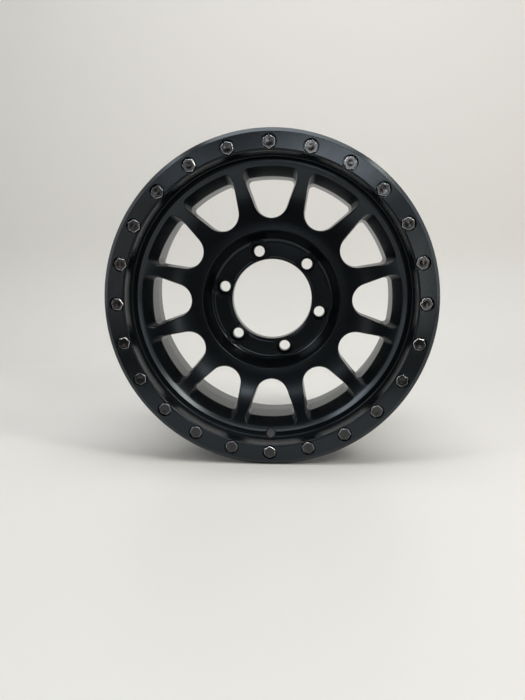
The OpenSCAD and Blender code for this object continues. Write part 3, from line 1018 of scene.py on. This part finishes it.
def bolt_form(mm, material):
    """One bolt, its axis along z and its depth below the ring's face downwards."""
    hexed = hexagon(mm.bolt_flats, 0.5)
    reach = np.hypot(hexed[:, 0], hexed[:, 1])
    way = hexed / reach[:, None]
    columns = len(reach)
    top, seat, dish = 0.2, mm.seat_depth, mm.bolt_dish_r
    sections = [(0.4, seat + 6), (3.5, seat + 6), (SHANK_R, seat + 5.5), (SHANK_R, seat + 0.25),
                (SHANK_R, seat), (reach - 0.35, seat), (reach, seat - 0.3), (reach, top + 0.75),
                (reach, top + 0.6), (reach - 0.15, top + 0.3), (reach - 0.5, top + 0.06),
                (reach - 0.65, top), (reach - 0.9, top), (dish + 1, top)]
    glint_and_wear_rings = (8, 9, 10)    # the rounded edge of the head, coloured bright for wear and a painted highlight
    sections += [(dish * part, top + 0.25 * (1 - part ** 2) ** 1.5)
                 for part in (1, 0.8, 0.6, 0.4, 0.2, 0.05)]
    place = np.concatenate([np.column_stack((way * np.broadcast_to(r, columns)[:, None],
                                             np.broadcast_to(depth, columns)))
                            for r, depth in sections]) * (1, 1, -1)
    rubbed_and_glint = np.repeat([float(k in glint_and_wear_rings) for k in range(len(sections))], columns)
    faces = grid_faces(len(sections), columns, True)
    for base in (0, (len(sections) - 1) * columns):
        faces += [(base, base + j, base + j + 1) for j in range(1, columns - 1)]
    form = mesh_object("bolt_form", place / 1000, faces, material)
    # The point attribute marks where the material paints the bright edge: wear and a painted
    # highlight.
    form.data.attributes.new("rubbed_and_glint", "FLOAT", "POINT").data.foreach_set("value", rubbed_and_glint)
    bpy.context.view_layer.objects.active = form
    bpy.ops.object.mode_set(mode="EDIT")
    bpy.ops.mesh.select_all(action="SELECT")
    bpy.ops.mesh.normals_make_consistent(inside=False)
    bpy.ops.object.mode_set(mode="OBJECT")
    return form


def bolt_ring_tree():
    """Stands copies of a form on a circle, each turned to face the centre."""
    tree = bpy.data.node_groups.new("ring_of_bolts", "GeometryNodeTree")
    sockets = {}
    for name, kind in (("Geometry", "NodeSocketGeometry"), ("Form", "NodeSocketObject"),
                       ("Count", "NodeSocketInt"), ("Circle Radius", "NodeSocketFloat"),
                       ("Face Height", "NodeSocketFloat"), ("Material", "NodeSocketMaterial")):
        socket = tree.interface.new_socket(name, in_out="INPUT", socket_type=kind)
        sockets[name] = socket.identifier
    tree.interface.new_socket("Geometry", in_out="OUTPUT", socket_type="NodeSocketGeometry")

    def made(kind, output=0, **inputs):
        node = tree.nodes.new(kind)
        for key, source in inputs.items():
            feed(tree, source, node.inputs[key])
        return node.outputs[output]

    given = tree.nodes.new("NodeGroupInput").outputs
    ring = made("GeometryNodeMeshCircle", Vertices=given["Count"], Radius=given["Circle Radius"])
    form = made("GeometryNodeObjectInfo", "Geometry", Object=given["Form"])
    pitch = maths(tree, "DIVIDE", 2 * math.pi, given["Count"])
    turn = maths(tree, "MULTIPLY", made("GeometryNodeInputIndex"), pitch)
    rotation = made("FunctionNodeEulerToRotation", Euler=made("ShaderNodeCombineXYZ", Z=turn))
    copies = made("GeometryNodeInstanceOnPoints", Points=ring, Instance=form, Rotation=rotation)
    lift = made("ShaderNodeCombineXYZ", Z=given["Face Height"])
    raised = made("GeometryNodeTransform", Geometry=copies, Translation=lift)
    upright = made("GeometryNodeTransform", Geometry=raised, Rotation=(math.radians(90), 0, 0))
    real = made("GeometryNodeRealizeInstances", Geometry=upright)
    painted = made("GeometryNodeSetMaterial", Geometry=real, Material=given["Material"])
    tree.links.new(painted, tree.nodes.new("NodeGroupOutput").inputs[0])
    return tree, sockets


def area_normals(place, faces):
    """Normals at the points, weighted by the area of the triangles that meet there."""
    a, b, c = (place[faces[:, k]] for k in range(3))
    cross = np.cross(b - a, c - a)
    total = np.zeros_like(place)
    for k in range(3):
        np.add.at(total, faces[:, k], cross)
    return unit(total)


def applied(thing, name):
    """The thing with its modifiers applied, as a plain mesh at the origin, in its stead."""
    ready = thing.evaluated_get(bpy.context.evaluated_depsgraph_get())
    mesh = bpy.data.meshes.new_from_object(ready)
    bpy.data.objects.remove(thing)
    return linked(name, mesh)


# ---- Stage ----

def soft_lamp(name, place, aim, size, power, tint):
    """An oblong lamp that faces its aim, and that the camera doesn't see."""
    lamp = bpy.data.lights.new(name, "AREA")
    lamp.shape, lamp.size, lamp.size_y = "RECTANGLE", size[0], size[1]
    lamp.energy, lamp.color = power, tint
    thing = linked(name, lamp)
    thing.location = place
    thing.rotation_euler = (Vector(aim) - Vector(place)).to_track_quat("-Z", "Y").to_euler()
    thing.visible_camera = False


def room_world(dim, pale):
    """A dim room that shows as a pale wall to the camera and through glass. Gloss mirrors the
    pale wall at half strength behind and beside the wheel, and the dim room in front of it."""
    world = bpy.data.worlds.new("soft_room")
    world.use_nodes = True
    tree = world.node_tree
    ray = tree.nodes.new("ShaderNodeLightPath")
    parts = tree.nodes.new("ShaderNodeSeparateXYZ")
    tree.links.new(tree.nodes.new("ShaderNodeTexCoord").outputs["Generated"], parts.inputs[0])
    behind = mapped(tree, parts.outputs["Y"], 0.0, 0.5, -0.6, -0.2)
    seen = maths(tree, "MULTIPLY", ray.outputs["Is Glossy Ray"], behind)
    for name in ("Is Camera Ray", "Is Transmission Ray"):
        seen = maths(tree, "MAXIMUM", seen, ray.outputs[name])
    tree.links.new(blended(tree, seen, (*dim, 1), (*pale, 1)),
                   tree.nodes["Background"].inputs["Color"])
    return world


def sweep_object(name, ground, material):
    """A floor that curves up into a backdrop, without a line between them."""
    front_y, wall_y, top, half_width, radius, steps = -0.56, 0.9, 2.2, 1.4, 0.35, 12
    profile = [(front_y, ground)]
    for k in range(steps + 1):
        a = math.radians(90 * k / steps)
        profile.append((wall_y - radius + radius * math.sin(a),
                        ground + radius * (1 - math.cos(a))))
    profile.append((wall_y, top))
    points = [(x, y, z) for y, z in profile for x in (-half_width, half_width)]
    faces = [(2 * i, 2 * i + 1, 2 * i + 3, 2 * i + 2) for i in range(len(profile) - 1)]
    mesh_object(name, points, faces, material)


def stage_finish(name, floor, wall):
    """A glossy pale table that turns into a matt wall where it curves up."""
    made = Finish(name)
    height = made.along("Z")
    made.link(made.tint(height, floor, wall, -0.20, 0.05), made.shader.inputs["Base Color"])
    made.link(made.spread(height, 0.4, 0.9, -0.2125, -0.08), made.shader.inputs["Roughness"])
    return made.material


# ---- Operators ----

class WHEEL_OT_casting(bpy.types.Operator):
    """Make the one-piece casting: ring, rim, spokes with their windows, hub bowl and holes"""
    bl_idname = "wheel.casting"
    bl_label = "Casting"

    def execute(self, context):
        scene = context.scene
        place, facing, faces = welded(casting_pieces(millimetres(scene.wheel_sizes)))
        place[:, 1] -= round(scene.wheel_sizes.front * 1000, 4)
        faces = outward(place, facing, faces)
        check_closed("the casting", faces)
        casting = mesh_object("casting", place / 1000, faces, powder_coat(scene.wheel_finish),
                              facing)
        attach(casting, "root")
        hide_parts("wheel_casting")
        return {"FINISHED"}


class WHEEL_OT_accent_bolts(bpy.types.Operator):
    """Make the ring of accent bolts in their recesses"""
    bl_idname = "wheel.accent_bolts"
    bl_label = "Accent bolts"

    def execute(self, context):
        scene = context.scene
        sizes = scene.wheel_sizes
        material = zinc_plate(scene.wheel_finish)
        form = bolt_form(millimetres(sizes), material)
        tree, sockets = bolt_ring_tree()
        holder = linked("bolt_ring", bpy.data.meshes.new("bolt_ring"))
        modifier = holder.modifiers.new("ring", "NODES")
        modifier.node_group = tree
        for name, value in (("Form", form), ("Count", sizes.bolts),
                            ("Circle Radius", sizes.bolt_circle_r),
                            ("Face Height", sizes.front), ("Material", material)):
            modifier[sockets[name]] = value
        bolts = applied(holder, "accent_bolt_set")
        bpy.data.objects.remove(form)
        mesh = bolts.data
        place = np.array([v.co for v in mesh.vertices])
        faces = np.array([tuple(p.vertices) for p in mesh.polygons])
        mesh.polygons.foreach_set("use_smooth", [True] * len(faces))
        mesh.normals_split_custom_set_from_vertices(area_normals(place, faces).tolist())
        check_closed("the ring of bolts", faces)
        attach(bolts, "root")
        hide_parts("accent_bolts")
        return {"FINISHED"}


class WHEEL_OT_stage(bpy.types.Operator):
    """Make the floor, the backdrop, the lamps and the camera"""
    bl_idname = "wheel.stage"
    bl_label = "Stage"

    def execute(self, context):
        scene = context.scene
        finish = scene.wheel_finish
        sweep_object("floor", -scene.wheel_sizes.ring_r,
                     stage_finish("pale_table", finish.floor, finish.wall))
        for name, place, aim, size, share, tint in LAMPS:
            soft_lamp(name, place, aim, size, finish.lamp_power * share, tint)
        scene.world = room_world(DIM_ROOM, finish.wall)
        lens = bpy.data.cameras.new("camera")
        lens.lens, lens.sensor_width, lens.clip_start = CAMERA_LENS, CAMERA_SENSOR, 0.01
        camera = linked("camera", lens)
        camera.location = CAMERA_PLACE
        camera.rotation_euler = [math.radians(a) for a in CAMERA_TURN]
        scene.camera = camera
        scene.view_settings.view_transform = "Standard"
        return {"FINISHED"}


class WHEEL_PT_panel(bpy.types.Panel):
    bl_label = "Wheel"
    bl_idname = "WHEEL_PT_panel"
    bl_space_type = "VIEW_3D"
    bl_region_type = "UI"
    bl_category = "Wheel"

    def draw(self, context):
        for group in (context.scene.wheel_sizes, context.scene.wheel_finish):
            for key in group.__annotations__:
                self.layout.prop(group, key)
        for operator in OPERATORS:
            self.layout.operator(operator.bl_idname)


OPERATORS = (WHEEL_OT_casting, WHEEL_OT_accent_bolts, WHEEL_OT_stage)
CLASSES = (WheelSizes, WheelFinish, *OPERATORS, WHEEL_PT_panel)


def register():
    for kind in CLASSES:
        bpy.utils.register_class(kind)
    bpy.types.Scene.wheel_sizes = PointerProperty(type=WheelSizes)
    bpy.types.Scene.wheel_finish = PointerProperty(type=WheelFinish)


def unregister():
    del bpy.types.Scene.wheel_sizes
    del bpy.types.Scene.wheel_finish
    for kind in reversed(CLASSES):
        bpy.utils.unregister_class(kind)


def main():
    register()
    bpy.ops.wheel.casting()
    bpy.ops.wheel.accent_bolts()
    bpy.ops.wheel.stage()


if __name__ == "__main__":
    main()
